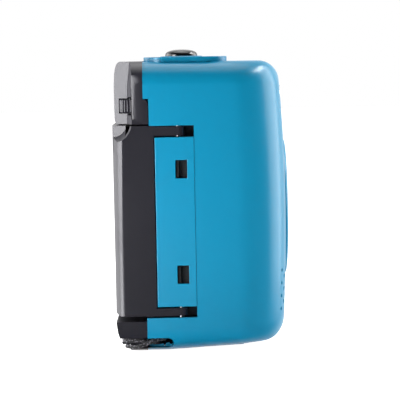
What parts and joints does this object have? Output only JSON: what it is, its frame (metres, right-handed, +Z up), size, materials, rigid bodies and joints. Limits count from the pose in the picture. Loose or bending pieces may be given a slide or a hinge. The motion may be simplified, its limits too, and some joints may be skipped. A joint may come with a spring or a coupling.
{
  "type": "instant camera",
  "caption": "Landscape instant film camera with moulded casing, hinged film door, collapsing lens barrel and braided wrist strap.",
  "frame": {"origin": "middle of the footprint on the surface the camera stands on, without the strap", "axes": "+X to the user's left (film exit), -Y the way the lens looks, +Z up"},
  "size_m": [0.1459, 0.0621, 0.1041],
  "materials": {
    "blue_casing": "satin moulded",
    "black_frame": "fine satin grain",
    "black_inner": "matt",
    "black_gloss": "polished",
    "steel": "brushed",
    "spring_steel": "drawn",
    "gear_white": "moulded",
    "brass": "turned",
    "board": "laminate",
    "clear": "polished",
    "lens": "coated",
    "amber": "polished",
    "battery_wrap": "printed film",
    "film": "coated sheet",
    "seal_foam": "open foam",
    "braid": "braided"
  },
  "bodies": {
    "casing": {"front_shell": "blue_casing", "shell_top_wall": "blue_casing", "shell_base_wall": "blue_casing", "shell_hinge_wall": "blue_casing", "shell_exit_wall": "blue_casing", "hinge_side_cover": "blue_casing", "top_deck": "blue_casing", "shutter_collar": "blue_casing", "lens_ring": "blue_casing", "rear_frame": "black_frame", "cover_clips": "black_frame", "exit_guide": "black_frame", "strap_bar": "black_frame", "viewfinder_eyepiece": "black_frame", "viewfinder_ocular": "clear", "film_chamber": "black_inner", "light_cone": "black_inner", "film_cartridge": "black_inner", "viewfinder_tube": "black_inner", "film_stack": "film", "roller_bracket": "steel", "film_motor": "steel", "hinge_pins": "steel", "tripod_bush": "steel", "casing_screws": "steel", "shutter_switch": "steel", "flash_reflector": "steel", "shutter_spring": "spring_steel", "circuit_board": "board", "battery": "battery_wrap", "battery_contacts": "brass", "flash_window": "clear", "flash_tube": "clear", "viewfinder_window": "clear", "flash_capacitor": "battery_wrap", "light_sensor_windows": "lens", "counter_display": "black_gloss", "strap_cord": "braid", "strap_joiner": "black_frame", "wrist_loop": "braid"},
    "door": {"film_door": "black_frame", "pressure_springs": "spring_steel", "film_check_window": "amber", "door_seal": "seal_foam"},
    "latch": {"door_latch": "black_frame"},
    "first_barrel": {"outer_barrel": "black_frame"},
    "second_barrel": {"inner_barrel": "black_frame", "shutter_plate": "black_inner", "lens_glass": "lens"},
    "shutter_release": {"shutter_button": "black_gloss"},
    "power_key": {"power_button": "black_gloss"},
    "mode_key_left": {"mode_button_left": "black_frame"},
    "mode_key_right": {"mode_button_right": "black_frame"},
    "wheel": {"thumbwheel": "black_frame"},
    "front_roller_body": {"front_roller": "steel"},
    "rear_roller_body": {"rear_roller": "steel"},
    "idler": {"idler_gear": "gear_white"},
    "pinion": {"motor_pinion": "brass"},
    "battery_hatch": {"battery_door": "blue_casing"}
  },
  "joints": [
    {"name": "film_door_hinge", "type": "hinge", "parent": "casing", "child": "door", "pos_m": [-0.06, 0.0083, 0.0456], "axis": [0, 0, 1], "range_deg": [0, 110]},
    {"name": "door_latch_slide", "type": "slide", "parent": "casing", "child": "latch", "axis": [0, 0, -1], "range_m": [0, 0.004], "stiffness_N_per_m": 80},
    {"name": "first_barrel_slide", "type": "slide", "parent": "casing", "child": "first_barrel", "axis": [0, -1, 0], "range_m": [0, 0.008]},
    {"name": "second_barrel_slide", "type": "slide", "parent": "first_barrel", "child": "second_barrel", "axis": [0, -1, 0], "range_m": [0, 0.008]},
    {"name": "shutter_button_press", "type": "slide", "parent": "casing", "child": "shutter_release", "axis": [0, 0, -1], "range_m": [0, 0.0015], "stiffness_N_per_m": 400, "deforming": ["shutter_spring"]},
    {"name": "power_button_press", "type": "slide", "parent": "casing", "child": "power_key", "axis": [0, 0, -1], "range_m": [0, 0.0006], "stiffness_N_per_m": 600},
    {"name": "mode_button_left_press", "type": "slide", "parent": "casing", "child": "mode_key_left", "axis": [0, -1, 0], "range_m": [0, 0.0006], "stiffness_N_per_m": 600},
    {"name": "mode_button_right_press", "type": "slide", "parent": "casing", "child": "mode_key_right", "axis": [0, -1, 0], "range_m": [0, 0.0006], "stiffness_N_per_m": 600},
    {"name": "thumbwheel_turn", "type": "hinge", "parent": "casing", "child": "wheel", "pos_m": [-0.0544, 0.0244, 0.085], "axis": [0, 0, 1], "range_deg": [-67.5, 67.5]},
    {"name": "front_roller_spin", "type": "hinge", "parent": "casing", "child": "front_roller_body", "pos_m": [0.0545, 0.0076, 0.045], "axis": [0, 0, 1], "continuous": true},
    {"name": "rear_roller_spin", "type": "hinge", "parent": "casing", "child": "rear_roller_body", "pos_m": [0.0545, 0.0132, 0.045], "axis": [0, 0, 1], "continuous": true},
    {"name": "idler_spin", "type": "hinge", "parent": "casing", "child": "idler", "pos_m": [0.0465, 0.0016, 0.081], "axis": [0, 0, 1], "continuous": true},
    {"name": "pinion_spin", "type": "hinge", "parent": "casing", "child": "pinion", "pos_m": [0.0465, -0.0076, 0.081], "axis": [0, 0, 1], "continuous": true},
    {"name": "battery_door_hinge", "type": "hinge", "parent": "casing", "child": "battery_hatch", "pos_m": [-0.0495, 0.0134, 0.0014], "axis": [1, 0, 0], "range_deg": [0, 95]}
  ],
  "couplings": [
    {"joint": "second_barrel_slide", "follows": "first_barrel_slide", "ratio": 1},
    {"joint": "rear_roller_spin", "follows": "front_roller_spin", "ratio": -1},
    {"joint": "idler_spin", "follows": "front_roller_spin", "ratio": -0.38889},
    {"joint": "pinion_spin", "follows": "front_roller_spin", "ratio": 1.4}
  ]
}
